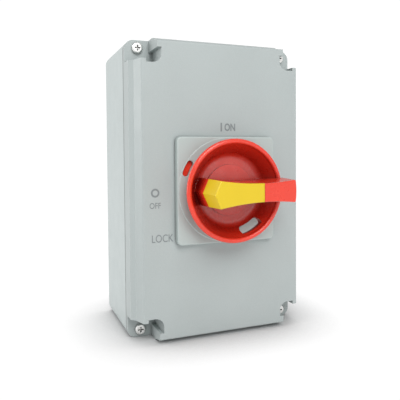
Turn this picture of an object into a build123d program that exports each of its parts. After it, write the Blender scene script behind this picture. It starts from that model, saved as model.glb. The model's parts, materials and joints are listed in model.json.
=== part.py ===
"""Surface-mounted rotary isolator switch: die-cast case, deep lid, red padlockable knob.

Frame: origin in the middle of the wall face, +Z up, +X right as seen by the user, and
the front faces -Y. A depth below is a distance in front of the wall (depth = -Y).
"""
import math
import os

from build123d import *

os.makedirs("parts", exist_ok=True)

# ---------------------------------------------------------------- driving dimensions, mm
CASE_W, CASE_H = 160.0, 256.0
CASE_R = 8.0                        # outer vertical corners
BASE_D = 77.0                       # wall face to the joint of base and lid
LID_D = 33.0
WALL = 4.0
FACE_D = BASE_D + LID_D             # front face of the lid

PANEL_W, PANEL_H, PANEL_R = 145.0, 247.6, 5.0   # raised panel on the lid, at its face
STEP_W, STEP_H, STEP_R = 152.0, 252.0, 6.0      # foot of the panel's sloping sides
STEP_D = FACE_D - 11.0
SHOULDER_D = FACE_D - 14.5          # where the lid's straight skirt ends

LEDGE_D = FACE_D - 27.0             # floor of the corner pockets
POCKET_X, POCKET_Z = 55.2, 105.2    # inner edges of each corner pocket
POCKET_R = 7.5
STRIP_X, STRIP_Z = 68.5, 108.1      # the pocket is shorter beyond STRIP_X
NIB_X, NIB_Z = 58.8, 118.0          # a nib of the panel narrows the pocket beyond NIB_Z
LID_SCREW_X, LID_SCREW_Z = 69.0, 121.0
CHANNEL_X, CHANNEL_Z = 60.0, 118.0  # wall fixing holes, reached with the lid off
CHANNEL_R = 4.5
WALL_HOLE_R = 2.75
CHANNEL_FLOOR_D = 8.0

CAVITY_W, CAVITY_H = 152.0, 248.0   # inside of the base
NOTCH_X, NOTCH_Z = 51.5, 109.5      # its corners are filled beyond these
GASKET_IN, GASKET_OUT = 0.6, 3.0    # gasket groove, measured outwards from the cavity
GASKET_T = 2.0

ENTRY_X, ENTRY_D, ENTRY_R = 30.0, 38.0, 16.0    # cable entries, top and bottom

BEZEL = 90.0                        # square front plate of the handle
BEZEL_R = 4.0
GASKET_SHEET = 1.0
BEZEL_BACK_D = FACE_D + GASKET_SHEET
BEZEL_D = FACE_D + 6.5              # its face; knob heights are measured from here
BEZEL_WELL_R, BEZEL_FRONT_T = 43.0, 2.2
BEZEL_MOUTH_R = 34.1
COLLAR_R, COLLAR_H = 44.0, 0.5
BEZEL_SCREW = 36.5
SLOT_R, SLOT_W, SLOT_SPAN = 40.55, 5.7, 20.0     # padlock slots: radius, width, degrees
LOCK_TURN = 35.0                    # from OFF anticlockwise to the padlocking position
BEZEL_SLOT_ANGLE = 152.5

KNOB_R = 42.9
RIM_H, RIM_R = 16.3, 2.2            # height of the rim roll's centre, and its radius
HUB_R = 21.5
BOWL_R = 30.0                       # flat floor of the bowl
NECK_R = 33.5
WINDOW_R, WINDOW_W, WINDOW_SPAN = 35.1, 6.0, 33.0   # padlock window in the bowl's wall
WINDOW_ANGLE = BEZEL_SLOT_ANGLE + 180.0 - LOCK_TURN
FLANGE_R = 42.4
SPIGOT_R = 10.0
SPIGOT_END_D = 98.0
BUSH_CLEARANCE = 0.05

BAR_TIP_X, BAR_SHOULDER_X, BAR_WAIST_X, BAR_END_X = -33.0, -28.0, 12.0, 43.2
BAR_BULGE = 0.9                     # how far the tail's end bows out
BAR_CORNER_R, BAR_EDGE_R = 1.5, 0.8
BAR_FOOT_WIDTHS = (11.4, 8.4, 11.0)  # half widths at the shoulder, waist and end
BAR_TOP_WIDTHS = (10.4, 7.1, 8.6)
BAR_FOOT_H, BAR_TIP_H, BAR_END_H = 2.2, 51.0, 38.5
BAR_UNDER_H = 19.5                  # underside of the tail's end, outside the rim
INSERT_FOOT_H = 26.0                # the insert wraps down the point to here
INSERT_WRAP_X, INSERT_END_X = -23.0, 12.0
INSERT_T = 3.5

SHAFT = 8.0                         # square drive shaft
SHAFT_START_D, SHAFT_END_D = 20.0, 92.0
SOCKET_CLEARANCE = 0.08

PLATE_W, PLATE_H, PLATE_T, PLATE_D = 128.0, 196.0, 2.0, 12.0    # mounting plate
PLATE_HOLE_X, PLATE_HOLE_Z = 56.0, 88.0
FOOT_W, FOOT_H, FOOT_T = 60.0, 122.0, 4.0
DECK_NAMES = ["rear", "middle", "front"]
DECK_HEIGHTS = [100.0, 84.0, 68.0]
DECK_W, DECK_T = 60.0, 13.0
DECK_WEB = 4.0
CONTACT_LIFT, BLADE_LIFT = 3.0, 3.2  # of the contacts and blades over a deck's web
CHAMBER_R = 20.6
ROTOR_R, ROTOR_BORE = 9.0, 9.4
CONTACT_W, CONTACT_T = 10.0, 3.0
BLADE_L, BLADE_W, BLADE_T = 36.0, 9.0, 2.4
MECH_H, MECH_T, COVER_T = 60.0, 16.0, 3.0
TIE_XZ = 25.0

CROSS_L, CROSS_W = 1.05, 0.24       # cross recess of a screw, against its head's radius
M4_R, M4_CLEAR_R = 2.0, 2.2
PILLAR_R, PILLAR_HOLE_L = 5.0, 7.0  # pillars that carry the mounting plate
LID_THREAD_R, LID_THREAD_L, LID_HOLE_R = 2.5, 18.0, 2.75
LID_WALL, CAVITY_R = 3.5, 3.0
LID_STEP_IN_D = STEP_D - 6.0        # where the lid's inside narrows towards its face
BUSH_R, BUSH_FLANGE_R, BUSH_FLANGE_T = 12.0, 15.0, 2.5
BEZEL_PILOT_R, BEZEL_PILOT_L = 1.9, 4.0
CROSS_SLOT = (4.2, 1.0)
DRIVE_PIN_X, DRIVE_PIN_R, DRIVE_PIN_L = 6.0, 1.5, 4.0
FOOT_SCREW_X, FOOT_SCREW_Z = 20.0, FOOT_H / 2 - 5.5

FOOT_D = PLATE_D + PLATE_T
DECKS_D = FOOT_D + FOOT_T
MECH_D = DECKS_D + DECK_T * len(DECK_NAMES)
COVER_D = MECH_D + MECH_T


# ---------------------------------------------------------------- helpers
def front(depth):
    """Plane parallel to the wall at a depth in front of it: local x = X, local y = Z."""
    return Plane.XZ.offset(depth)


def knob_level(height):
    """Plane at a height in front of the bezel's face."""
    return front(BEZEL_D + height)


def save(builder, name):
    """Label a finished piece and write its STEP file."""
    builder.part.label = name
    export_step(builder.part, f"parts/{name}.step")


def notched(width, height, notch_x, notch_z, radius):
    """Sketch of a rectangle whose four corners are squared out, every corner rounded."""
    with BuildSketch(mode=Mode.PRIVATE) as outline:
        Rectangle(width, height)
        corner_w = width / 2 - notch_x
        corner_h = height / 2 - notch_z
        spots = GridLocations(width - corner_w, height - corner_h, 2, 2)
        with spots:
            Rectangle(corner_w, corner_h, mode=Mode.SUBTRACT)
        fillet(outline.vertices(), radius)
    return outline.sketch


def four(x, z):
    """The four corner places at +-x, +-z."""
    return GridLocations(2 * x, 2 * z, 2, 2)


def arc_slot(radius, width, angle, span):
    """Curved slot about the knob's axis, centred on an angle in degrees."""
    with BuildSketch(mode=Mode.PRIVATE) as slot:
        with BuildLine():
            path = CenterArc((0, 0), radius, angle - span / 2, span)
        SlotArc(path, width)
    return slot.sketch


def pan_screws(plane, places, head_r, head_h, shank_r, shank_l):
    """Pan-head cross-recess screws: heads stand on the plane, shanks go back from it."""
    with BuildPart() as screws:
        with BuildSketch(plane):
            with places:
                Circle(head_r)
        extrude(amount=head_h)
        fillet(screws.faces().sort_by(Axis.Y)[:len(places.locations)].edges(), head_h * 0.45)
        with BuildSketch(plane):
            with places:
                Circle(shank_r)
        extrude(amount=-shank_l)
        with BuildSketch(plane.offset(head_h)):
            with places:
                Rectangle(head_r * CROSS_L, head_r * CROSS_W)
                Rectangle(head_r * CROSS_W, head_r * CROSS_L)
        extrude(amount=-head_h * 0.6, mode=Mode.SUBTRACT)
    return screws


# ---------------------------------------------------------------- case
with BuildPart() as base_shell:
    with BuildSketch(front(0)):
        RectangleRounded(CASE_W, CASE_H, CASE_R)
    extrude(amount=BASE_D)
    fillet(base_shell.faces().sort_by(Axis.Y)[-1].edges(), 1.5)
    with BuildSketch(front(WALL)):
        add(notched(CAVITY_W, CAVITY_H, NOTCH_X, NOTCH_Z, CAVITY_R))
    extrude(amount=BASE_D - WALL, mode=Mode.SUBTRACT)
    # pillars for the mounting plate
    with BuildSketch(front(WALL)):
        with four(PLATE_HOLE_X, PLATE_HOLE_Z):
            Circle(PILLAR_R)
    extrude(amount=PLATE_D - WALL)
    with BuildSketch(front(PLATE_D)):
        with four(PLATE_HOLE_X, PLATE_HOLE_Z):
            Circle(M4_R)
    extrude(amount=-PILLAR_HOLE_L, mode=Mode.SUBTRACT)
    # wall fixing channels: wide from the front, a screw hole through the back wall
    with BuildSketch(front(CHANNEL_FLOOR_D)):
        with four(CHANNEL_X, CHANNEL_Z):
            Circle(CHANNEL_R)
    extrude(amount=BASE_D - CHANNEL_FLOOR_D, mode=Mode.SUBTRACT)
    with BuildSketch(front(0)):
        with four(CHANNEL_X, CHANNEL_Z):
            Circle(WALL_HOLE_R)
    extrude(amount=CHANNEL_FLOOR_D, mode=Mode.SUBTRACT)
    # blind threaded holes for the lid screws
    with BuildSketch(front(BASE_D)):
        with four(LID_SCREW_X, LID_SCREW_Z):
            Circle(LID_THREAD_R)
    extrude(amount=-LID_THREAD_L, mode=Mode.SUBTRACT)
    # cable entries through the top and bottom walls
    for entry_x in (-ENTRY_X, ENTRY_X):
        with BuildSketch(Plane.XY.offset(-CASE_H / 2)):
            with Locations((entry_x, -ENTRY_D)):
                Circle(ENTRY_R)
        extrude(amount=CASE_H, mode=Mode.SUBTRACT)
save(base_shell, "base_shell")

# One plug for each cable entry: flush slotted disc, stepped down through the wall, flanged inside.
PLUG_SLOT = (18.0, 2.4, 1.4)
PLUG_FLANGE_R, PLUG_FLANGE_T, PLUG_SEAL_T = 18.5, 3.0, 1.0
for side, level in (("top", 1), ("bottom", -1)):
    outer = Plane((0, 0, level * CASE_H / 2), x_dir=(1, 0, 0), z_dir=(0, 0, level))
    spots = [(x, -ENTRY_D * level) for x in (-ENTRY_X, ENTRY_X)]
    with BuildPart() as entry_plugs:
        with BuildSketch(outer):
            with Locations(*spots):
                Circle(ENTRY_R)
        extrude(amount=-(WALL + PLUG_SEAL_T))
        with BuildSketch(outer.offset(-(WALL + PLUG_SEAL_T))):
            with Locations(*spots):
                Circle(PLUG_FLANGE_R)
        extrude(amount=-PLUG_FLANGE_T)
        with BuildSketch(outer):
            with Locations(*spots):
                Rectangle(PLUG_SLOT[0], PLUG_SLOT[1])
        extrude(amount=-PLUG_SLOT[2], mode=Mode.SUBTRACT)
    save(entry_plugs, f"entry_plugs_{side}")
    with BuildPart() as entry_seals:
        with BuildSketch(outer.offset(-WALL)):
            with Locations(*spots):
                Circle(PLUG_FLANGE_R)
                Circle(ENTRY_R, mode=Mode.SUBTRACT)
        extrude(amount=-PLUG_SEAL_T)
    save(entry_seals, f"entry_seals_{side}")

with BuildPart() as lid:
    with BuildSketch(front(BASE_D)):
        RectangleRounded(CASE_W, CASE_H, CASE_R)
    extrude(amount=SHOULDER_D - BASE_D)
    with BuildSketch(front(SHOULDER_D)):
        RectangleRounded(CASE_W, CASE_H, CASE_R)
    with BuildSketch(front(STEP_D)):
        RectangleRounded(STEP_W, STEP_H, STEP_R)
    loft(ruled=True)
    with BuildSketch(front(STEP_D)):
        RectangleRounded(STEP_W, STEP_H, STEP_R)
    with BuildSketch(front(FACE_D)):
        RectangleRounded(PANEL_W, PANEL_H, PANEL_R)
    loft(ruled=True)
    fillet(lid.faces().sort_by(Axis.Y)[0].edges(), 1.8)
    # hollow inside, in two steps
    with BuildSketch(front(BASE_D)):
        add(notched(CAVITY_W, CAVITY_H, POCKET_X - LID_WALL, POCKET_Z - LID_WALL, CAVITY_R))
    extrude(amount=LID_STEP_IN_D - BASE_D, mode=Mode.SUBTRACT)
    with BuildSketch(front(LID_STEP_IN_D)):
        inner_w, inner_h = PANEL_W - 2 * LID_WALL, PANEL_H - 7.6
        add(notched(inner_w, inner_h, POCKET_X - LID_WALL, POCKET_Z - LID_WALL, CAVITY_R))
    extrude(amount=FACE_D - WALL - LID_STEP_IN_D, mode=Mode.SUBTRACT)
    # corner pockets with the screw ledges
    with BuildSketch(front(LEDGE_D)) as pockets:
        with four((POCKET_X + STRIP_X) / 2, (POCKET_Z + CASE_H / 2) / 2):
            Rectangle(STRIP_X - POCKET_X, CASE_H / 2 - POCKET_Z)
        inner = pockets.vertices().filter_by(lambda v: abs(abs(v.X) - POCKET_X) < 0.1)
        inner = inner.filter_by(lambda v: abs(abs(v.Y) - POCKET_Z) < 0.1)
        fillet(inner, POCKET_R)
        with four((STRIP_X + CASE_W / 2) / 2, (STRIP_Z + CASE_H / 2) / 2):
            Rectangle(CASE_W / 2 - STRIP_X, CASE_H / 2 - STRIP_Z)
        with four((POCKET_X + NIB_X) / 2, (NIB_Z + CASE_H / 2) / 2):
            Rectangle(NIB_X - POCKET_X, CASE_H / 2 - NIB_Z, mode=Mode.SUBTRACT)
    extrude(amount=FACE_D - LEDGE_D + 1.0, mode=Mode.SUBTRACT)
    with BuildSketch(front(BASE_D)):
        with four(LID_SCREW_X, LID_SCREW_Z):
            Circle(LID_HOLE_R)
    extrude(amount=LEDGE_D - BASE_D, mode=Mode.SUBTRACT)
    # gasket groove in the rim
    with BuildSketch(front(BASE_D)):
        offset(notched(CAVITY_W, CAVITY_H, NOTCH_X, NOTCH_Z, CAVITY_R), GASKET_OUT)
        offset(notched(CAVITY_W, CAVITY_H, NOTCH_X, NOTCH_Z, CAVITY_R), GASKET_IN, mode=Mode.SUBTRACT)
    extrude(amount=GASKET_T, mode=Mode.SUBTRACT)
    # hole for the handle's bush, and for the screws that hold the bezel from inside
    with BuildSketch(front(FACE_D)):
        Circle(BUSH_R)
        with four(BEZEL_SCREW, BEZEL_SCREW):
            Circle(M4_CLEAR_R)
    extrude(amount=-WALL, mode=Mode.SUBTRACT)
save(lid, "lid")

with BuildPart() as lid_gasket:
    with BuildSketch(front(BASE_D)):
        offset(notched(CAVITY_W, CAVITY_H, NOTCH_X, NOTCH_Z, CAVITY_R), GASKET_OUT)
        offset(notched(CAVITY_W, CAVITY_H, NOTCH_X, NOTCH_Z, CAVITY_R), GASKET_IN, mode=Mode.SUBTRACT)
    extrude(amount=GASKET_T)
save(lid_gasket, "lid_gasket")

LID_HEAD_R, LID_HEAD_H, LID_SHANK_R, LID_SHANK_L = 4.65, 3.2, 2.4, 22.0
lid_places = four(LID_SCREW_X, LID_SCREW_Z)
lid_screws = pan_screws(
    front(LEDGE_D), lid_places, LID_HEAD_R, LID_HEAD_H, LID_SHANK_R, LID_SHANK_L
)
save(lid_screws, "lid_screws")

# ---------------------------------------------------------------- handle on the lid
with BuildPart() as bezel_gasket:
    with BuildSketch(front(FACE_D)):
        RectangleRounded(BEZEL - 2.0, BEZEL - 2.0, BEZEL_R - 1.0)
        Circle(BUSH_R, mode=Mode.SUBTRACT)
        with four(BEZEL_SCREW, BEZEL_SCREW):
            Circle(M4_CLEAR_R, mode=Mode.SUBTRACT)
    extrude(amount=GASKET_SHEET)
save(bezel_gasket, "bezel_gasket")

with BuildPart() as handle_bezel:
    with BuildSketch(front(BEZEL_BACK_D)):
        RectangleRounded(BEZEL, BEZEL, BEZEL_R)
    extrude(amount=BEZEL_D - BEZEL_BACK_D)
    fillet(handle_bezel.faces().sort_by(Axis.Y)[0].edges(), 1.4)
    with BuildSketch(front(BEZEL_D)):
        Circle(COLLAR_R)
    extrude(amount=COLLAR_H, taper=30)
    with BuildSketch(front(BEZEL_BACK_D)):
        Circle(BEZEL_WELL_R)
    extrude(amount=BEZEL_D - BEZEL_FRONT_T - BEZEL_BACK_D, mode=Mode.SUBTRACT)
    with BuildSketch(front(BEZEL_D - BEZEL_FRONT_T)):
        Circle(BEZEL_MOUTH_R)
        for slot_angle in (BEZEL_SLOT_ANGLE, BEZEL_SLOT_ANGLE + 180):
            add(arc_slot(SLOT_R, SLOT_W, slot_angle, SLOT_SPAN - math.degrees(SLOT_W / SLOT_R)))
    extrude(amount=BEZEL_FRONT_T + COLLAR_H, mode=Mode.SUBTRACT)
    with BuildSketch(front(BEZEL_BACK_D)):
        with four(BEZEL_SCREW, BEZEL_SCREW):
            Circle(BEZEL_PILOT_R)
    extrude(amount=BEZEL_PILOT_L, mode=Mode.SUBTRACT)
save(handle_bezel, "handle_bezel")

inside_lid = Plane(front(FACE_D - WALL).origin, x_dir=(1, 0, 0), z_dir=(0, 1, 0))
BEZEL_HEAD_R, BEZEL_HEAD_H = 3.8, 2.6
with BuildPart() as bezel_screws:
    with BuildSketch(inside_lid):
        with four(BEZEL_SCREW, BEZEL_SCREW):
            Circle(BEZEL_HEAD_R)
    extrude(amount=BEZEL_HEAD_H)
    with BuildSketch(inside_lid):
        with four(BEZEL_SCREW, BEZEL_SCREW):
            Circle(BEZEL_PILOT_R)
    extrude(amount=-(WALL + GASKET_SHEET + BEZEL_PILOT_L - 0.4))
    with BuildSketch(inside_lid.offset(BEZEL_HEAD_H)):
        with four(BEZEL_SCREW, BEZEL_SCREW):
            Rectangle(*CROSS_SLOT)
            Rectangle(*reversed(CROSS_SLOT))
    extrude(amount=-1.5, mode=Mode.SUBTRACT)
save(bezel_screws, "bezel_screws")

with BuildPart() as shaft_bush:
    with BuildSketch(front(FACE_D - WALL)):
        Circle(BUSH_R)
    extrude(amount=WALL + GASKET_SHEET)
    with BuildSketch(front(FACE_D - WALL)):
        Circle(BUSH_FLANGE_R)
    extrude(amount=-BUSH_FLANGE_T)
    with BuildSketch(front(FACE_D - WALL - BUSH_FLANGE_T)):
        Circle(SPIGOT_R + BUSH_CLEARANCE)
    extrude(amount=WALL + GASKET_SHEET + BUSH_FLANGE_T, mode=Mode.SUBTRACT)
save(shaft_bush, "shaft_bush")

SEAL_D, SEAL_R = 108.0, 0.9
FLANGE_D, FLANGE_T = BEZEL_BACK_D + 0.6, 2.2    # locking flange inside the bezel
FLANGE_BACK_H = FLANGE_D - BEZEL_D
SPIGOT_END_H = SPIGOT_END_D - BEZEL_D
SEAL_H = SEAL_D - BEZEL_D
SEAL_GROOVE_R = SPIGOT_R - 2 * SEAL_R
HUB_H, FLOOR_H = 4.2, 3.2

# Half sections about the knob's axis: local x = radius, local y = height over the bezel.
knob_section_plane = Plane((0, -BEZEL_D, 0), x_dir=(1, 0, 0), z_dir=(0, 0, -1))


def bar_outline(half_widths):
    """Plan of the handle bar: pointed at -X, waisted in the middle, bowed at its end."""
    shoulder_w, waist_w, end_w = half_widths
    with BuildSketch(mode=Mode.PRIVATE) as outline:
        with BuildLine():
            Polyline(
                (BAR_SHOULDER_X, shoulder_w),
                (BAR_TIP_X, 0),
                (BAR_SHOULDER_X, -shoulder_w),
            )
            for side in (1, -1):
                ThreePointArc(
                    (BAR_SHOULDER_X, side * shoulder_w),
                    (BAR_WAIST_X, side * waist_w),
                    (BAR_END_X, side * end_w),
                )
            ThreePointArc((BAR_END_X, end_w), (BAR_END_X + BAR_BULGE, 0), (BAR_END_X, -end_w))
        make_face()
        fillet(outline.vertices().group_by(Axis.X)[-1], BAR_CORNER_R)
    return outline.sketch


def bar_top(x):
    """Height of the bar's sloping top over the bezel's face."""
    slope = (BAR_END_H - BAR_TIP_H) / (BAR_END_X - BAR_TIP_X)
    return BAR_TIP_H + slope * (x - BAR_TIP_X)


def bar_piece(side_outline):
    """The part of the tapered bar that lies inside an outline seen from the side."""
    with BuildPart(mode=Mode.PRIVATE) as piece:
        with BuildSketch(knob_level(BAR_FOOT_H)):
            add(bar_outline(BAR_FOOT_WIDTHS))
        with BuildSketch(knob_level(BAR_TIP_H)):
            add(bar_outline(BAR_TOP_WIDTHS))
        loft(ruled=True)
        with BuildSketch(knob_section_plane):
            with BuildLine():
                Polyline(*side_outline, close=True)
            make_face()
        extrude(amount=2 * KNOB_R, both=True, mode=Mode.INTERSECT)
    return piece


BEYOND_TIP_X, BEYOND_END_X = BAR_TIP_X - 5.0, BAR_END_X + 5.0
grip = bar_piece([
    (BEYOND_TIP_X, BAR_FOOT_H),
    (BOWL_R + 2.5, BAR_FOOT_H),
    (KNOB_R - 2.5, RIM_H),
    (KNOB_R - 2.5, RIM_H + 2.0),
    (BAR_END_X + BAR_BULGE, BAR_UNDER_H),
    (BEYOND_END_X, BAR_UNDER_H),
    (BEYOND_END_X, bar_top(BEYOND_END_X)),
    (INSERT_END_X, bar_top(INSERT_END_X)),
    (INSERT_END_X, bar_top(INSERT_END_X) - INSERT_T),
    (INSERT_WRAP_X, bar_top(INSERT_WRAP_X) - INSERT_T),
    (INSERT_WRAP_X, INSERT_FOOT_H),
    (BEYOND_TIP_X, INSERT_FOOT_H),
])
with grip:
    tail_faces = grip.faces().filter_by(lambda f: f.normal_at().Y < -0.9)
    tail_top = tail_faces.filter_by(lambda f: f.center().X > INSERT_END_X).sort_by(Axis.Y)[0]
    rounded = tail_top.edges().filter_by(lambda e: e.center().X > INSERT_END_X + 1)
    fillet(rounded, BAR_EDGE_R)

with BuildPart() as knob:
    with BuildSketch(knob_section_plane):
        with BuildLine():
            Polyline(
                (0, SPIGOT_END_H),
                (SPIGOT_R, SPIGOT_END_H),
                (SPIGOT_R, SEAL_H - 1.0),
                (SEAL_GROOVE_R, SEAL_H - 1.0),
                (SEAL_GROOVE_R, SEAL_H + 1.0),
                (SPIGOT_R, SEAL_H + 1.0),
                (SPIGOT_R, FLANGE_BACK_H),
                (FLANGE_R, FLANGE_BACK_H),
                (FLANGE_R, FLANGE_BACK_H + FLANGE_T),
                (NECK_R, FLANGE_BACK_H + FLANGE_T),
                (NECK_R, COLLAR_H + 0.8),
                (KNOB_R - 0.6, RIM_H - 1.6),
                (KNOB_R - RIM_R, RIM_H),
                (KNOB_R - 2 * RIM_R, RIM_H),
                (BOWL_R, FLOOR_H),
                (HUB_R, FLOOR_H),
                (HUB_R, HUB_H),
                (0, HUB_H),
                close=True,
            )
        make_face()
        with Locations((KNOB_R - RIM_R, RIM_H)):
            Circle(RIM_R)
    revolve(axis=Axis.Y)
    bowl_edges = knob.edges().filter_by(GeomType.CIRCLE)
    fillet(bowl_edges.filter_by(lambda e: abs(e.radius - BOWL_R) < 0.05), 6.0)
    add(grip.part)
    # padlock window through the bowl's wall
    with BuildSketch(knob_level(FLANGE_BACK_H + FLANGE_T)):
        trimmed = WINDOW_SPAN - math.degrees(WINDOW_W / WINDOW_R)
        add(arc_slot(WINDOW_R, WINDOW_W, WINDOW_ANGLE, trimmed))
    extrude(amount=RIM_H - RIM_R - FLANGE_BACK_H - FLANGE_T, mode=Mode.SUBTRACT)
    # notches in the flange, which come under the bezel's slots in the LOCK position
    with BuildSketch(knob_level(FLANGE_BACK_H)):
        for notch_angle in (WINDOW_ANGLE, WINDOW_ANGLE - 180):
            add(arc_slot(SLOT_R + 1.2, SLOT_W + 2.4, notch_angle, SLOT_SPAN - 8.0))
    extrude(amount=FLANGE_T, mode=Mode.SUBTRACT)
    # screw hole and drive holes in the back of the spigot
    with BuildSketch(front(SPIGOT_END_D)):
        Circle(M4_R)
    extrude(amount=13.0, mode=Mode.SUBTRACT)
    with BuildSketch(front(SPIGOT_END_D)):
        with Locations((-DRIVE_PIN_X, 0), (DRIVE_PIN_X, 0)):
            Circle(DRIVE_PIN_R)
    extrude(amount=DRIVE_PIN_L, mode=Mode.SUBTRACT)
save(knob, "knob")

pointer_insert = bar_piece([
    (BEYOND_TIP_X, INSERT_FOOT_H),
    (INSERT_WRAP_X, INSERT_FOOT_H),
    (INSERT_WRAP_X, bar_top(INSERT_WRAP_X) - INSERT_T),
    (INSERT_END_X, bar_top(INSERT_END_X) - INSERT_T),
    (INSERT_END_X, bar_top(INSERT_END_X)),
    (BEYOND_TIP_X, bar_top(BEYOND_TIP_X)),
])
with pointer_insert:
    top_face = pointer_insert.faces().filter_by(lambda f: f.normal_at().Y < -0.9).sort_by(Axis.Y)[0]
    fillet(top_face.edges(), 0.8)
save(pointer_insert, "pointer_insert")

with BuildPart() as shaft_seal:
    with BuildSketch(knob_section_plane):
        with Locations((SPIGOT_R - SEAL_R, SEAL_H)):
            Circle(SEAL_R)
    revolve(axis=Axis.Y)
save(shaft_seal, "shaft_seal")

SOCKET_R, SOCKET_BACK_D, SOCKET_WEB = 9.5, 86.0, 2.0
socket_side = SHAFT + 2 * SOCKET_CLEARANCE
with BuildPart() as clutch_socket:
    with BuildSketch(front(SOCKET_BACK_D)):
        Circle(SOCKET_R)
    extrude(amount=SPIGOT_END_D - SOCKET_BACK_D)
    with BuildSketch(front(SPIGOT_END_D - 3.0)):
        Circle(SOCKET_R + 6.5)
    extrude(amount=3.0)
    with BuildSketch(front(SOCKET_BACK_D)):
        Rectangle(socket_side, socket_side)
    extrude(amount=SPIGOT_END_D - SOCKET_WEB - SOCKET_BACK_D, mode=Mode.SUBTRACT)
    with BuildSketch(front(SOCKET_BACK_D)):
        Rectangle(socket_side + 2.4, socket_side + 2.4)
    with BuildSketch(front(SOCKET_BACK_D + 1.6)):
        Rectangle(socket_side, socket_side)
    loft(ruled=True, mode=Mode.SUBTRACT)
    with BuildSketch(front(SPIGOT_END_D)):
        with Locations((-DRIVE_PIN_X, 0), (DRIVE_PIN_X, 0)):
            Circle(DRIVE_PIN_R)
    extrude(amount=DRIVE_PIN_L)
    with BuildSketch(front(SPIGOT_END_D)):
        Circle(M4_R)
    extrude(amount=-SOCKET_WEB, mode=Mode.SUBTRACT)
save(clutch_socket, "clutch_socket")

KNOB_HEAD_H = 2.2
with BuildPart() as knob_screw:
    with BuildSketch(front(SPIGOT_END_D - SOCKET_WEB)):
        Circle(3.5)
    extrude(amount=-KNOB_HEAD_H)
    with BuildSketch(front(SPIGOT_END_D - SOCKET_WEB)):
        Circle(M4_R)
    extrude(amount=14.0)
    with BuildSketch(front(SPIGOT_END_D - SOCKET_WEB - KNOB_HEAD_H)):
        Rectangle(4.2, 0.9)
        Rectangle(0.9, 4.2)
    extrude(amount=1.3, mode=Mode.SUBTRACT)
save(knob_screw, "knob_screw")

# ---------------------------------------------------------------- switch inside
with BuildPart() as drive_shaft:
    with BuildSketch(front(SHAFT_START_D)):
        Rectangle(SHAFT, SHAFT)
    extrude(amount=SHAFT_END_D - SHAFT_START_D)
    chamfer(drive_shaft.faces().sort_by(Axis.Y)[0].edges(), 0.8)
save(drive_shaft, "drive_shaft")


def blade_level(index):
    """Back face of one pole's moving blade."""
    return DECKS_D + DECK_T * index + DECK_WEB + BLADE_LIFT


with BuildPart() as rotor:
    with BuildSketch(front(SHAFT_START_D)):
        Circle(ROTOR_R)
        Rectangle(SHAFT, SHAFT, mode=Mode.SUBTRACT)
    extrude(amount=MECH_D - SHAFT_START_D)
    for deck_index in range(len(DECK_NAMES)):
        with BuildSketch(front(blade_level(deck_index))):
            Rectangle(4 * ROTOR_R, BLADE_W)
        extrude(amount=BLADE_T, mode=Mode.SUBTRACT)
save(rotor, "rotor")

with BuildPart() as moving_blades:
    for deck_index in range(len(DECK_NAMES)):
        with BuildSketch(front(blade_level(deck_index))):
            Rectangle(BLADE_L, BLADE_W)
            Circle(BLADE_L / 2, mode=Mode.INTERSECT)
            Rectangle(SHAFT, SHAFT, mode=Mode.SUBTRACT)
        extrude(amount=BLADE_T)
save(moving_blades, "moving_blades")

CAM_R, CAM_NOTCH_R = 15.0, 3.0
CAM_BACK_D, CAM_T = MECH_D + 3.5, 8.0
with BuildPart() as index_cam:
    with BuildSketch(front(CAM_BACK_D)):
        Circle(CAM_R)
        for notch_angle in (0, 90, 180, 270, -LOCK_TURN, 180 - LOCK_TURN):
            with PolarLocations(CAM_R + 1.4, 1, start_angle=notch_angle):
                Circle(CAM_NOTCH_R, mode=Mode.SUBTRACT)
        Rectangle(SHAFT, SHAFT, mode=Mode.SUBTRACT)
    extrude(amount=CAM_T)
save(index_cam, "index_cam")

with BuildPart() as switch_foot:
    with BuildSketch(front(FOOT_D)):
        RectangleRounded(FOOT_W, FOOT_H, 3.0)
        with four(FOOT_SCREW_X, FOOT_SCREW_Z):
            Circle(M4_R, mode=Mode.SUBTRACT)
        with four(TIE_XZ, TIE_XZ):
            Circle(M4_R, mode=Mode.SUBTRACT)
    extrude(amount=FOOT_T)
save(switch_foot, "switch_foot")

for deck_index, deck_name in enumerate(DECK_NAMES):
    deck_d = DECKS_D + DECK_T * deck_index
    deck_h = DECK_HEIGHTS[deck_index]
    with BuildPart() as contact_deck:
        with BuildSketch(front(deck_d)):
            RectangleRounded(DECK_W, deck_h, 2.0)
        extrude(amount=DECK_T)
        with BuildSketch(front(deck_d)):
            Circle(ROTOR_BORE)
            with four(TIE_XZ, TIE_XZ):
                Circle(M4_R)
        extrude(amount=DECK_T, mode=Mode.SUBTRACT)
        with BuildSketch(front(deck_d + DECK_WEB)):
            Circle(CHAMBER_R)
        extrude(amount=DECK_T - DECK_WEB, mode=Mode.SUBTRACT)
        # channels for the fixed contacts, open at the front and at both ends
        with BuildSketch(front(deck_d + DECK_WEB + CONTACT_LIFT)):
            Rectangle(CONTACT_W, deck_h + 1.0)
        extrude(amount=DECK_T, mode=Mode.SUBTRACT)
        # finger-safe pockets at the terminals
        with BuildSketch(front(deck_d + DECK_WEB + CONTACT_LIFT)):
            with Locations((0, deck_h / 2), (0, -deck_h / 2)):
                Rectangle(15.0, 15.0)
        extrude(amount=DECK_T, mode=Mode.SUBTRACT)
    save(contact_deck, f"contact_deck_{deck_name}")

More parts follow.
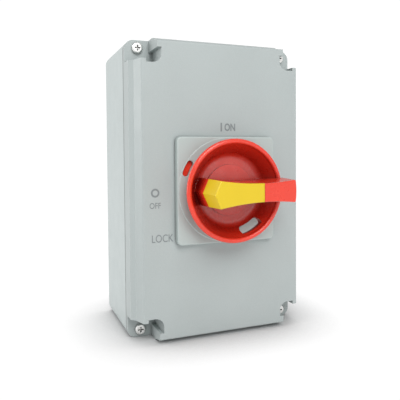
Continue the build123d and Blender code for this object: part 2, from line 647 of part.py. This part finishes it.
TERMINAL_SCREW_R, TERMINAL_HEAD_H, TERMINAL_INSET = 3.2, 2.6, 4.0
for side, sign in (("line", 1), ("load", -1)):
    with BuildPart() as terminals:
        for deck_index, deck_h in enumerate(DECK_HEIGHTS):
            bar_d = DECKS_D + DECK_T * deck_index + DECK_WEB + CONTACT_LIFT
            inner_z, outer_z = BLADE_L / 2 + 0.6, deck_h / 2 - 0.5
            with BuildSketch(front(bar_d)):
                with Locations((0, sign * (inner_z + outer_z) / 2)):
                    Rectangle(CONTACT_W - 0.6, outer_z - inner_z)
            extrude(amount=CONTACT_T)
            with BuildSketch(front(bar_d)):
                with Locations((0, sign * (deck_h / 2 - TERMINAL_INSET))):
                    Circle(M4_R)
            extrude(amount=CONTACT_T, mode=Mode.SUBTRACT)
    save(terminals, f"{side}_terminals")
    with BuildPart() as terminal_screws:
        for deck_index, deck_h in enumerate(DECK_HEIGHTS):
            head_d = DECKS_D + DECK_T * deck_index + DECK_WEB + CONTACT_LIFT + CONTACT_T
            spot = Locations((0, sign * (deck_h / 2 - TERMINAL_INSET)))
            with BuildSketch(front(head_d)):
                with spot:
                    Circle(TERMINAL_SCREW_R)
            extrude(amount=TERMINAL_HEAD_H)
            with BuildSketch(front(head_d)):
                with spot:
                    Circle(M4_R)
            extrude(amount=-CONTACT_T)
            with BuildSketch(front(head_d + TERMINAL_HEAD_H)):
                with spot:
                    Rectangle(4 * TERMINAL_SCREW_R, 0.9)
            extrude(amount=-1.2, mode=Mode.SUBTRACT)
    save(terminal_screws, f"{side}_terminal_screws")

PLUNGER_R, PLUNGER_TIP, PLUNGER_L, SPRING_L = 2.5, CAM_R + 0.6, 7.0, 5.0
plunger_d = CAM_BACK_D + CAM_T / 2
PLUNGER_BORE_END = PLUNGER_TIP + PLUNGER_L + SPRING_L
with BuildPart() as mechanism_housing:
    with BuildSketch(front(MECH_D)):
        RectangleRounded(DECK_W, MECH_H, 2.0)
        Circle(ROTOR_BORE, mode=Mode.SUBTRACT)
        with four(TIE_XZ, TIE_XZ):
            Circle(M4_R, mode=Mode.SUBTRACT)
    extrude(amount=MECH_T)
    with BuildSketch(front(MECH_D + 3.0)):
        Circle(CAM_R + 0.8)
    extrude(amount=MECH_T - 3.0, mode=Mode.SUBTRACT)
    with BuildSketch(Plane.YZ.offset(-PLUNGER_BORE_END)):
        with Locations((-plunger_d, 0)):
            Circle(PLUNGER_R)
    extrude(amount=2 * PLUNGER_BORE_END, mode=Mode.SUBTRACT)
save(mechanism_housing, "mechanism_housing")

with BuildPart() as index_plungers:
    with BuildSketch(Plane.YZ.offset(PLUNGER_TIP)):
        with Locations((-plunger_d, 0)):
            Circle(PLUNGER_R)
    extrude(amount=PLUNGER_L)
    fillet(index_plungers.faces().sort_by(Axis.X)[0].edges(), 2.0)
    mirror(about=Plane.YZ)
save(index_plungers, "index_plungers")

WIRE_R, SPRING_R, SPRING_PITCH = 0.35, 1.9, 1.2
with BuildPart() as index_springs:
    with BuildLine():
        coil = Helix(
            pitch=SPRING_PITCH,
            height=SPRING_L - 2 * WIRE_R,
            radius=SPRING_R,
            center=(PLUNGER_TIP + PLUNGER_L + WIRE_R, -plunger_d, 0),
            direction=(1, 0, 0),
        )
    with BuildSketch(coil ^ 0):
        Circle(WIRE_R)
    sweep(path=coil, is_frenet=True)
    mirror(about=Plane.YZ)
save(index_springs, "index_springs")

with BuildPart() as mechanism_cover:
    with BuildSketch(front(COVER_D)):
        RectangleRounded(DECK_W, MECH_H, 2.0)
        Circle(SHAFT * 0.8, mode=Mode.SUBTRACT)
        with four(TIE_XZ, TIE_XZ):
            Circle(M4_R, mode=Mode.SUBTRACT)
    extrude(amount=COVER_T)
save(mechanism_cover, "mechanism_cover")

tie_places = four(TIE_XZ, TIE_XZ)
tie_length = COVER_D + COVER_T - FOOT_D
save(pan_screws(front(COVER_D + COVER_T), tie_places, 3.6, 2.6, 2.0, tie_length), "tie_screws")

with BuildPart() as mounting_plate:
    with BuildSketch(front(PLATE_D)):
        RectangleRounded(PLATE_W, PLATE_H, 4.0)
        with four(PLATE_HOLE_X, PLATE_HOLE_Z):
            Circle(M4_R, mode=Mode.SUBTRACT)
        with four(FOOT_SCREW_X, FOOT_SCREW_Z):
            Circle(M4_R, mode=Mode.SUBTRACT)
    extrude(amount=PLATE_T)
save(mounting_plate, "mounting_plate")

plate_places = four(PLATE_HOLE_X, PLATE_HOLE_Z)
save(pan_screws(front(FOOT_D), plate_places, 3.8, 2.6, 2.0, 8.0), "plate_screws")
foot_places = four(FOOT_SCREW_X, FOOT_SCREW_Z)
save(pan_screws(front(DECKS_D), foot_places, 3.6, 2.4, 2.0, 6.0), "foot_screws")

EARTH_W, EARTH_S, EARTH_Z, EARTH_PITCH = 56.0, 9.0, -80.0, 12.0
EARTH_HEAD_R, EARTH_HEAD_H, EARTH_SHANK_R = 3.2, 2.2, 1.8
with BuildPart() as earth_bar:
    with BuildSketch(front(FOOT_D)):
        with Locations((0, EARTH_Z)):
            Rectangle(EARTH_W, EARTH_S)
    extrude(amount=EARTH_S)
    with BuildSketch(front(FOOT_D + EARTH_S)):
        with Locations((0, EARTH_Z)):
            with GridLocations(EARTH_PITCH, 1, 4, 1):
                Circle(EARTH_SHANK_R)
    extrude(amount=-7.0, mode=Mode.SUBTRACT)
save(earth_bar, "earth_bar")

with BuildPart() as earth_screws:
    with BuildSketch(front(FOOT_D + EARTH_S)):
        with Locations((0, EARTH_Z)):
            with GridLocations(EARTH_PITCH, 1, 4, 1):
                Circle(EARTH_HEAD_R)
    extrude(amount=EARTH_HEAD_H)
    with BuildSketch(front(FOOT_D + EARTH_S)):
        with Locations((0, EARTH_Z)):
            with GridLocations(EARTH_PITCH, 1, 4, 1):
                Circle(EARTH_SHANK_R)
    extrude(amount=-6.0)
    with BuildSketch(front(FOOT_D + EARTH_S + EARTH_HEAD_H)):
        with Locations((0, EARTH_Z)):
            with GridLocations(EARTH_PITCH, 1, 4, 1):
                Rectangle(7.0, 0.9)
    extrude(amount=-1.1, mode=Mode.SUBTRACT)
save(earth_screws, "earth_screws")
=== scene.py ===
import json
import math

import bpy
from mathutils import Matrix, Vector


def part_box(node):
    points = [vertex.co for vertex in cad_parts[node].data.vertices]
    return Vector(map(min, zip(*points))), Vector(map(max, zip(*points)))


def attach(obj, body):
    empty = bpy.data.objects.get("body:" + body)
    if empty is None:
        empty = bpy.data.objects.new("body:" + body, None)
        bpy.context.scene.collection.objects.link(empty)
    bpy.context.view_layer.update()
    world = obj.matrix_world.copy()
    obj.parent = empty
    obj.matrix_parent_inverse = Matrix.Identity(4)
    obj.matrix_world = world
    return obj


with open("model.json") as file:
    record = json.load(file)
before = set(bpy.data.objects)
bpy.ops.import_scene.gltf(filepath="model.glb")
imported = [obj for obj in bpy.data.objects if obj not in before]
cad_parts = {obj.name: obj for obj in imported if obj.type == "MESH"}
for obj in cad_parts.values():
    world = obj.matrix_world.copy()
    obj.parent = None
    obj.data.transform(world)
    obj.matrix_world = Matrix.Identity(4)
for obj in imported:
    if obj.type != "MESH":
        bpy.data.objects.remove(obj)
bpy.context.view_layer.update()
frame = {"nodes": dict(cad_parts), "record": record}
nodes = frame["nodes"]

MM = 0.001


# ---------------------------------------------------------------- where things are
CASE_LOW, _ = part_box("base_shell")
LID_LOW, LID_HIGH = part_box("lid")
BEZEL_LOW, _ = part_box("handle_bezel")
FACE_Y = LID_LOW.y                   # front face of the lid
BOWL_Y = BEZEL_LOW.y                 # the knob's bowl lies in front of the bezel
FLOOR_Z = CASE_LOW.z


# ---------------------------------------------------------------- material helpers
BEVEL_SAMPLES = OCCLUSION_SAMPLES = 6
OPEN_AO, CLOSED_AO = 0.75, 0.15      # occlusion that counts as open surface, and as deep recess


class Paint:
    """A Principled material whose patterns are built up from noise in the piece's own space."""

    def __init__(self, name, colour, roughness, edge_mm=0.3, **sockets):
        self.material = bpy.data.materials.new(name)
        self.material.use_nodes = True
        self.tree = self.material.node_tree
        self.shader = self.tree.nodes["Principled BSDF"]
        self.coords = self.node("ShaderNodeTexCoord").outputs["Object"]
        self.colour = None
        self.rounded = self.node("ShaderNodeBevel", samples=BEVEL_SAMPLES)
        self.rounded.inputs["Radius"].default_value = edge_mm * MM
        self.normal = self.rounded.outputs["Normal"]
        self.shader.inputs["Base Color"].default_value = (*colour, 1.0)
        self.shader.inputs["Roughness"].default_value = roughness
        for socket, value in sockets.items():
            self.shader.inputs[socket.replace("_", " ")].default_value = value

    def node(self, kind, **settings):
        made = self.tree.nodes.new(kind)
        for setting, value in settings.items():
            setattr(made, setting, value)
        return made

    def link(self, source, target):
        self.tree.links.new(source, target)

    def noise(self, grain_mm, detail=2.0, stretch=(1.0, 1.0, 1.0)):
        """Noise from 0 to 1 whose grains are about grain_mm across, drawn out along an axis."""
        mapping = self.node("ShaderNodeMapping")
        mapping.inputs["Scale"].default_value = [1.0 / s for s in stretch]
        texture = self.node("ShaderNodeTexNoise")
        texture.inputs["Scale"].default_value = 1.0 / (grain_mm * MM)
        texture.inputs["Detail"].default_value = detail
        self.link(self.coords, mapping.inputs["Vector"])
        self.link(mapping.outputs["Vector"], texture.inputs["Vector"])
        return texture.outputs["Fac"]

    def remap(self, value, low, high, start=0.3, end=0.7):
        """A value from start to end, turned into one from low to high."""
        ranged = self.node("ShaderNodeMapRange")
        ranged.inputs["From Min"].default_value = start
        ranged.inputs["From Max"].default_value = end
        ranged.inputs["To Min"].default_value = low
        ranged.inputs["To Max"].default_value = high
        self.link(value, ranged.inputs["Value"])
        return ranged.outputs["Result"]

    def tint(self, mask, colour):
        """Blend a colour over what is there, where the mask is 1."""
        mix = self.node("ShaderNodeMixRGB")
        if self.colour is None:
            mix.inputs["Color1"].default_value = self.shader.inputs["Base Color"].default_value
        else:
            self.link(self.colour, mix.inputs["Color1"])
        mix.inputs["Color2"].default_value = (*colour, 1.0)
        self.link(mask, mix.inputs["Fac"])
        self.colour = mix.outputs["Color"]
        self.link(self.colour, self.shader.inputs["Base Color"])

    def vary_roughness(self, mask, low, high):
        self.link(self.remap(mask, low, high), self.shader.inputs["Roughness"])

    def bump(self, height, depth_mm):
        """Raise the surface by up to depth_mm where height is 1."""
        bump = self.node("ShaderNodeBump")
        bump.inputs["Strength"].default_value = 1.0
        bump.inputs["Distance"].default_value = depth_mm * MM
        self.link(height, bump.inputs["Height"])
        self.link(self.normal, bump.inputs["Normal"])
        self.normal = bump.outputs["Normal"]
        self.link(self.normal, self.shader.inputs["Normal"])

    def along_y(self):
        """The Y coordinate in the piece's own space, in metres."""
        place = self.node("ShaderNodeSeparateXYZ")
        self.link(self.coords, place.inputs["Vector"])
        return place.outputs["Y"]

    def edges(self, start=0.03, end=0.25):
        """A mask that is 1 on sharp edges and 0 on flat surfaces."""
        geometry = self.node("ShaderNodeNewGeometry")
        apart = self.node("ShaderNodeVectorMath", operation="DISTANCE")
        self.link(self.rounded.outputs["Normal"], apart.inputs[0])
        self.link(geometry.outputs["Normal"], apart.inputs[1])
        return self.remap(apart.outputs["Value"], 0.0, 1.0, start, end)

    def hollows(self, reach_mm):
        """A mask that is 1 deep in recesses, where painted shade goes."""
        occlusion = self.node("ShaderNodeAmbientOcclusion", samples=OCCLUSION_SAMPLES)
        occlusion.inputs["Distance"].default_value = reach_mm * MM
        return self.remap(occlusion.outputs["AO"], 1.0, 0.0, CLOSED_AO, OPEN_AO)

    def times(self, a, b):
        product = self.node("ShaderNodeMath", operation="MULTIPLY")
        self.link(a, product.inputs[0])
        self.link(b, product.inputs[1])
        return product.outputs["Value"]


def shade(colour, factor):
    """The same colour, darker for a factor under 1 and brighter for one over 1."""
    return tuple(channel * factor for channel in colour)


JOINT_MM = 2.2                       # height of the dark line where lid and base meet
JOINT_SOFT_MM = 0.3                  # over which that line fades in


def painted_metal(name, colour, joint_y=None):
    """Powder coat on die-cast metal: orange peel, faint mottling, painted edge highlights,
    painted shade in recesses.

    With joint_y, the paint is dark where the piece meets its neighbour at that Y.
    """
    paint = Paint(name, colour, 0.5, 0.7, Coat_Weight=0.12, Coat_Roughness=0.35)
    paint.tint(paint.remap(paint.noise(38, 3), 0.0, 0.5), shade(colour, 0.92))
    paint.tint(paint.remap(paint.noise(0.9, 2), 0.0, 0.35, 0.45, 0.75), shade(colour, 1.12))
    # painted highlight: edges lightened, broken up by noise
    edge_highlight = paint.times(paint.edges(), paint.remap(paint.noise(3, 3), 0.35, 1.0))
    paint.tint(edge_highlight, shade(colour, 1.3))
    # painted shade: darker deep in recesses
    paint.tint(paint.hollows(3.0), shade(colour, 0.45))
    if joint_y is not None:
        start = joint_y - JOINT_MM * MM
        gap = paint.remap(paint.along_y(), 0.0, 0.9, start, start + JOINT_SOFT_MM * MM)
        paint.tint(gap, shade(colour, 0.2))
    paint.vary_roughness(paint.noise(14, 3), 0.42, 0.58)
    paint.bump(paint.noise(1.3, 1), 0.06)
    paint.bump(paint.noise(0.28, 2), 0.012)
    return paint.material


def moulded_plastic(
    name, colour, roughness, edge_highlight_gain=1.25, edge_mm=0.45, hollow_shade=None, **sockets
):
    """Spark-eroded moulding: fine even grain, slight flow marks, painted edge highlights and
    painted shade.

    Given a shade for its hollows, the piece is painted darker there: a reach in millimetres, the
    shade colour, and the Y behind which the hollows keep their own colour.
    """
    paint = Paint(name, colour, roughness, edge_mm, **sockets)
    paint.tint(paint.remap(paint.noise(22, 2, (1, 1, 2.5)), 0.0, 0.4), shade(colour, 0.9))
    # painted highlight: edges lightened, broken up by noise
    edge_highlight = paint.times(paint.edges(), paint.remap(paint.noise(2.5, 3), 0.3, 0.9))
    paint.tint(edge_highlight, shade(colour, edge_highlight_gain))
    if hollow_shade:
        reach_mm, shade_colour, limit_y = hollow_shade
        # painted shade in the hollows, only in front of limit_y
        ahead = paint.remap(paint.along_y(), 1.0, 0.0, limit_y - 2 * MM, limit_y)
        paint.tint(paint.times(paint.hollows(reach_mm), ahead), shade_colour)
    # painted shade: darker deep in recesses
    paint.tint(paint.hollows(2.0), shade(colour, 0.35))
    paint.vary_roughness(paint.noise(9, 3), roughness - 0.06, roughness + 0.07)
    paint.bump(paint.noise(0.35, 2), 0.010)
    paint.bump(paint.noise(6, 1), 0.03)
    return paint.material


def plated_metal(name, colour, roughness, stretch=(1.0, 1.0, 1.0), blotch=0.8):
    """Plated or drawn metal: fine drawing lines, slightly uneven plating, painted shade in
    recesses.
    """
    paint = Paint(name, colour, roughness, 0.25, Metallic=1.0)
    paint.tint(paint.remap(paint.noise(2.4, 3), 0.0, 0.6), shade(colour, blotch))
    # painted shade: nearly black deep in recesses
    paint.tint(paint.hollows(2.4), shade(colour, 0.02))
    paint.vary_roughness(paint.noise(0.6, 2, stretch), roughness - 0.07, roughness + 0.1)
    paint.bump(paint.noise(0.25, 2, stretch), 0.006)
    return paint.material


def spangled_zinc(name, colour):
    """Galvanised sheet: crystal spangles of slightly different brightness."""
    paint = Paint(name, colour, 0.42, Metallic=1.0)
    spangle_mm = 7
    cells = paint.node("ShaderNodeTexVoronoi")
    cells.inputs["Scale"].default_value = 1.0 / (spangle_mm * MM)
    paint.link(paint.coords, cells.inputs["Vector"])
    per_cell = paint.node("ShaderNodeSeparateColor")
    paint.link(cells.outputs["Color"], per_cell.inputs["Color"])
    paint.tint(paint.remap(per_cell.outputs["Red"], 0.0, 0.8, 0.1, 0.9), shade(colour, 0.78))
    paint.vary_roughness(per_cell.outputs["Green"], 0.34, 0.5)
    paint.bump(paint.noise(0.5, 2), 0.008)
    return paint.material


def seal_rubber(name, colour):
    """Soft black rubber with talc dust in its grain."""
    paint = Paint(name, colour, 0.78, Specular_IOR_Level=0.3)
    paint.tint(paint.remap(paint.noise(5, 4), 0.0, 0.35, 0.5, 0.8), shade(colour, 2.6))
    paint.vary_roughness(paint.noise(3, 2), 0.68, 0.86)
    paint.bump(paint.noise(0.4, 2), 0.015)
    return paint.material


# ---------------------------------------------------------------- finishes by material slot
GREY_PAINT = (0.43, 0.475, 0.47)
GREY_PLASTIC = (0.455, 0.515, 0.50)
LEGEND_GREY = (0.215, 0.24, 0.245)
RED = (0.80, 0.042, 0.017)
# painted shade deep in the red bowl
BOWL_SHADE_RED = (0.15, 0.0005, 0.0005)
YELLOW = (0.74, 0.53, 0.008)
BLACK_MOULDING = (0.028, 0.028, 0.030)
RUBBER = (0.022, 0.022, 0.022)
NYLON = (0.66, 0.63, 0.56)
STEEL, ZINC = (0.86, 0.86, 0.84), (0.66, 0.68, 0.70)
COPPER, BRASS = (0.80, 0.50, 0.36), (0.83, 0.63, 0.30)

BOWL_SHADE_REACH_MM = 38.0                 # how far the painted shade in the red bowl spreads
ALONG_X, ALONG_Y = (8, 1, 1), (1, 6, 1)     # how far drawing lines are stretched

finishes = {
    "grey_plastic": moulded_plastic("grey_plastic", GREY_PLASTIC, 0.5, 1.25, 0.7),
    "red_plastic": moulded_plastic(
        "red_plastic", RED, 0.28, 1.1,
        hollow_shade=(BOWL_SHADE_REACH_MM, BOWL_SHADE_RED, BOWL_Y), Coat_Weight=0.3, Coat_Roughness=0.16,
    ),
    "yellow_plastic": moulded_plastic("yellow_plastic", YELLOW, 0.36, 1.3),
    "plated_steel": plated_metal("plated_steel", STEEL, 0.28),
    "galvanised_steel": spangled_zinc("galvanised_steel", ZINC),
    "black_moulding": moulded_plastic("black_moulding", BLACK_MOULDING, 0.48, 2.2),
    "nylon": moulded_plastic("nylon", NYLON, 0.42),
    "silvered_copper": plated_metal("silvered_copper", COPPER, 0.34, ALONG_Y, 0.7),
    "brass": plated_metal("brass", BRASS, 0.30, ALONG_X, 0.75),
    "black_rubber": seal_rubber("black_rubber", RUBBER),
}

# The two halves of the case share a slot; one grey paint, the lid's a little darker as painted
# shade, the base's a little lighter as painted light.
joint_y = (nodes["lid"].matrix_world.inverted() @ Vector((0, LID_HIGH.y, 0))).y
case_paints_lit_and_shaded = {
    "lid": painted_metal("grey_lid_paint_shaded", shade(GREY_PAINT, 0.94), joint_y),
    "base_shell": painted_metal("grey_base_paint_lit", shade(GREY_PAINT, 1.1)),
}

for subpart in frame["record"]["subparts"]:
    piece = nodes[subpart["node"]]
    finish = case_paints_lit_and_shaded.get(subpart["node"]) or finishes[subpart["material_slot"]]
    piece.data.materials.clear()
    piece.data.materials.append(finish)


# ---------------------------------------------------------------- legends on the lid
INK_MM = 0.12                        # thickness of the printed marks
CAP_HEIGHT = 0.7                     # of the built-in font's size
CIRCLE_POINTS = 48
legend_ink = moulded_plastic("legend_ink", LEGEND_GREY, 0.55, 1.1, 0.1)


def place_mark(mark, x_mm, z_mm):
    """Put a flat mark on the lid's face, at a place measured from the handle's axis."""
    mark.location = (x_mm * MM, FACE_Y - INK_MM * MM / 2, z_mm * MM)
    mark.rotation_euler = (math.radians(90), 0, 0)
    mark.data.materials.append(legend_ink)
    bpy.context.scene.collection.objects.link(mark)
    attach(mark, "lid")


def print_word(name, word, x_mm, z_mm, height_mm, width_mm, weight=0.0):
    """A word in plain capitals, centred on a place and stretched to a width."""
    text = bpy.data.curves.new(name, "FONT")
    text.body = word
    text.align_x = "CENTER"
    text.align_y = "CENTER"
    text.size = height_mm * MM / CAP_HEIGHT
    text.extrude = INK_MM * MM / 2
    text.offset = weight * height_mm * MM
    mark = bpy.data.objects.new(name, text)
    bpy.context.view_layer.update()
    place_mark(mark, x_mm, z_mm)
    bpy.context.view_layer.update()
    mark.scale.x = width_mm * MM / mark.dimensions.x


def print_shape(name, outlines, x_mm, z_mm):
    """A flat shape between outlines in millimetres, the second of which is its hole."""
    curve = bpy.data.curves.new(name, "CURVE")
    curve.dimensions = "2D"
    curve.fill_mode = "BOTH"
    curve.extrude = INK_MM * MM / 2
    for outline in outlines:
        spline = curve.splines.new("POLY")
        spline.points.add(len(outline) - 1)
        for point, (x, y) in zip(spline.points, outline):
            point.co = (x * MM, y * MM, 0.0, 1.0)
        spline.use_cyclic_u = True
    place_mark(bpy.data.objects.new(name, curve), x_mm, z_mm)


def circle(radius):
    turns = [math.tau * i / CIRCLE_POINTS for i in range(CIRCLE_POINTS)]
    return [(radius * math.cos(turn), radius * math.sin(turn)) for turn in turns]


def upright_bar(width, height):
    x, y = width / 2, height / 2
    return [(-x, -y), (x, -y), (x, y), (-x, y)]


print_shape("mark_on_bar", [upright_bar(1.35, 7.4)], -2.5, 53.4)
print_word("mark_on_word", "ON", 5.7, 53.0, 6.0, 10.1, 0.04)
print_shape("mark_off_ring", [circle(3.6), circle(2.2)], -61.9, -1.2)
print_word("mark_off_word", "OFF", -62.0, -11.9, 4.8, 9.4)
print_word("mark_lock_word", "LOCK", -56.1, -39.2, 6.3, 18.4)


# ---------------------------------------------------------------- camera, light and floor
LENS_MM, SENSOR_MM = 43.81, 36.0
CAMERA_AT = Vector((-0.17358, -0.49215, 0.03078))
YAW, PITCH, ROLL = (math.radians(angle) for angle in (21.584, 1.898, -0.434))
SHIFT_Y = -0.0756

# How bright the white studio is to the camera, in a reflection, and as light on the switch.
SEEN_WHITE, MIRRORED_WHITE, CAST_WHITE = 1.05, 0.8, 0.30

LIGHTS = {                           # place, what it is aimed at, size in metres, watts
    "softbox": ((-0.15, -1.4, 1.1), (0, -0.05, 0), (1.0, 1.0), 20.5),
    "rim": ((-1.2, 0.5, 0.5), (0, -0.05, 0), (0.8, 1.2), 10),
    "sheen": ((0.42, -1.25, -0.05), (0, -0.12, 0), (0.35, 0.5), 0.8),
}

FLOOR_SIZE = 12.0
FLOOR_COLOUR, FLOOR_MOTTLE = (0.60, 0.60, 0.60), (0.58, 0.58, 0.585)
SHADOW_REACH_MM = 65                 # how far from the switch the floor shows its painted shadow
SHADOWED_AO, UNSHADOWED_AO = 0.45, 0.97


def add_camera():
    """The photo's viewpoint: from the left and looking slightly down, about half a metre off."""
    forward = Vector((
        math.sin(YAW) * math.cos(PITCH),
        math.cos(YAW) * math.cos(PITCH),
        -math.sin(PITCH),
    ))
    right = Vector((math.cos(YAW), -math.sin(YAW), 0.0))
    up = right.cross(forward)
    rolled_right = math.cos(ROLL) * right + math.sin(ROLL) * up
    rolled_up = math.cos(ROLL) * up - math.sin(ROLL) * right
    data = bpy.data.cameras.new("camera")
    data.lens = LENS_MM
    data.sensor_width = SENSOR_MM
    data.shift_y = SHIFT_Y
    camera = bpy.data.objects.new("camera", data)
    turned = Matrix((rolled_right, rolled_up, -forward)).transposed().to_4x4()
    camera.matrix_world = Matrix.Translation(CAMERA_AT) @ turned
    bpy.context.scene.collection.objects.link(camera)
    bpy.context.scene.camera = camera


def add_area_light(name, place, target, size, power):
    data = bpy.data.lights.new(name, "AREA")
    data.shape = "RECTANGLE"
    data.size, data.size_y = size
    data.energy = power
    lamp = bpy.data.objects.new(name, data)
    lamp.location = place
    lamp.rotation_euler = (Vector(target) - Vector(place)).to_track_quat("-Z", "Y").to_euler()
    bpy.context.scene.collection.objects.link(lamp)


def add_world():
    """White studio walls, with a brightness for each kind of ray that meets them."""
    world = bpy.data.worlds.new("studio")
    world.use_nodes = True
    tree = world.node_tree
    walls = tree.nodes["Background"]
    walls.inputs["Color"].default_value = (1.0, 1.0, 1.0, 1.0)
    rays = tree.nodes.new("ShaderNodeLightPath")
    indirect = tree.nodes.new("ShaderNodeMapRange")
    indirect.inputs["To Min"].default_value = CAST_WHITE
    indirect.inputs["To Max"].default_value = MIRRORED_WHITE
    tree.links.new(rays.outputs["Is Glossy Ray"], indirect.inputs["Value"])
    strength = tree.nodes.new("ShaderNodeMapRange")
    tree.links.new(indirect.outputs["Result"], strength.inputs["To Min"])
    strength.inputs["To Max"].default_value = SEEN_WHITE
    tree.links.new(rays.outputs["Is Camera Ray"], strength.inputs["Value"])
    tree.links.new(strength.outputs["Result"], walls.inputs["Strength"])
    bpy.context.scene.world = world


def add_floor():
    """A pale sheet, white and glowing away from the switch; near it the glow fades out by
    occlusion into the lit sheet, a painted shadow over the real one.
    """
    bpy.ops.mesh.primitive_plane_add(size=FLOOR_SIZE, location=(0, 0, FLOOR_Z))
    floor = bpy.context.object
    floor.name = "studio_floor"
    paint = Paint("studio_floor", FLOOR_COLOUR, 0.8)
    paint.tint(paint.remap(paint.noise(900, 2), 0.0, 0.15), FLOOR_MOTTLE)
    # painted shadow: occlusion near the switch fades the glow into the lit sheet
    nearness = paint.node("ShaderNodeAmbientOcclusion", samples=8)
    nearness.inputs["Distance"].default_value = SHADOW_REACH_MM * MM
    white = paint.remap(nearness.outputs["AO"], 0.0, 1.0, SHADOWED_AO, UNSHADOWED_AO)
    glow = paint.node("ShaderNodeEmission")
    glow.inputs["Strength"].default_value = SEEN_WHITE
    painted_shadow_blend = paint.node("ShaderNodeMixShader")
    paint.link(white, painted_shadow_blend.inputs["Fac"])
    paint.link(paint.shader.outputs["BSDF"], painted_shadow_blend.inputs[1])
    paint.link(glow.outputs["Emission"], painted_shadow_blend.inputs[2])
    paint.link(painted_shadow_blend.outputs["Shader"], paint.tree.nodes["Material Output"].inputs["Surface"])
    floor.data.materials.append(paint.material)


add_camera()
add_world()
for name, settings in LIGHTS.items():
    add_area_light(name, *settings)
add_floor()
bpy.context.scene.view_settings.view_transform = "Standard"
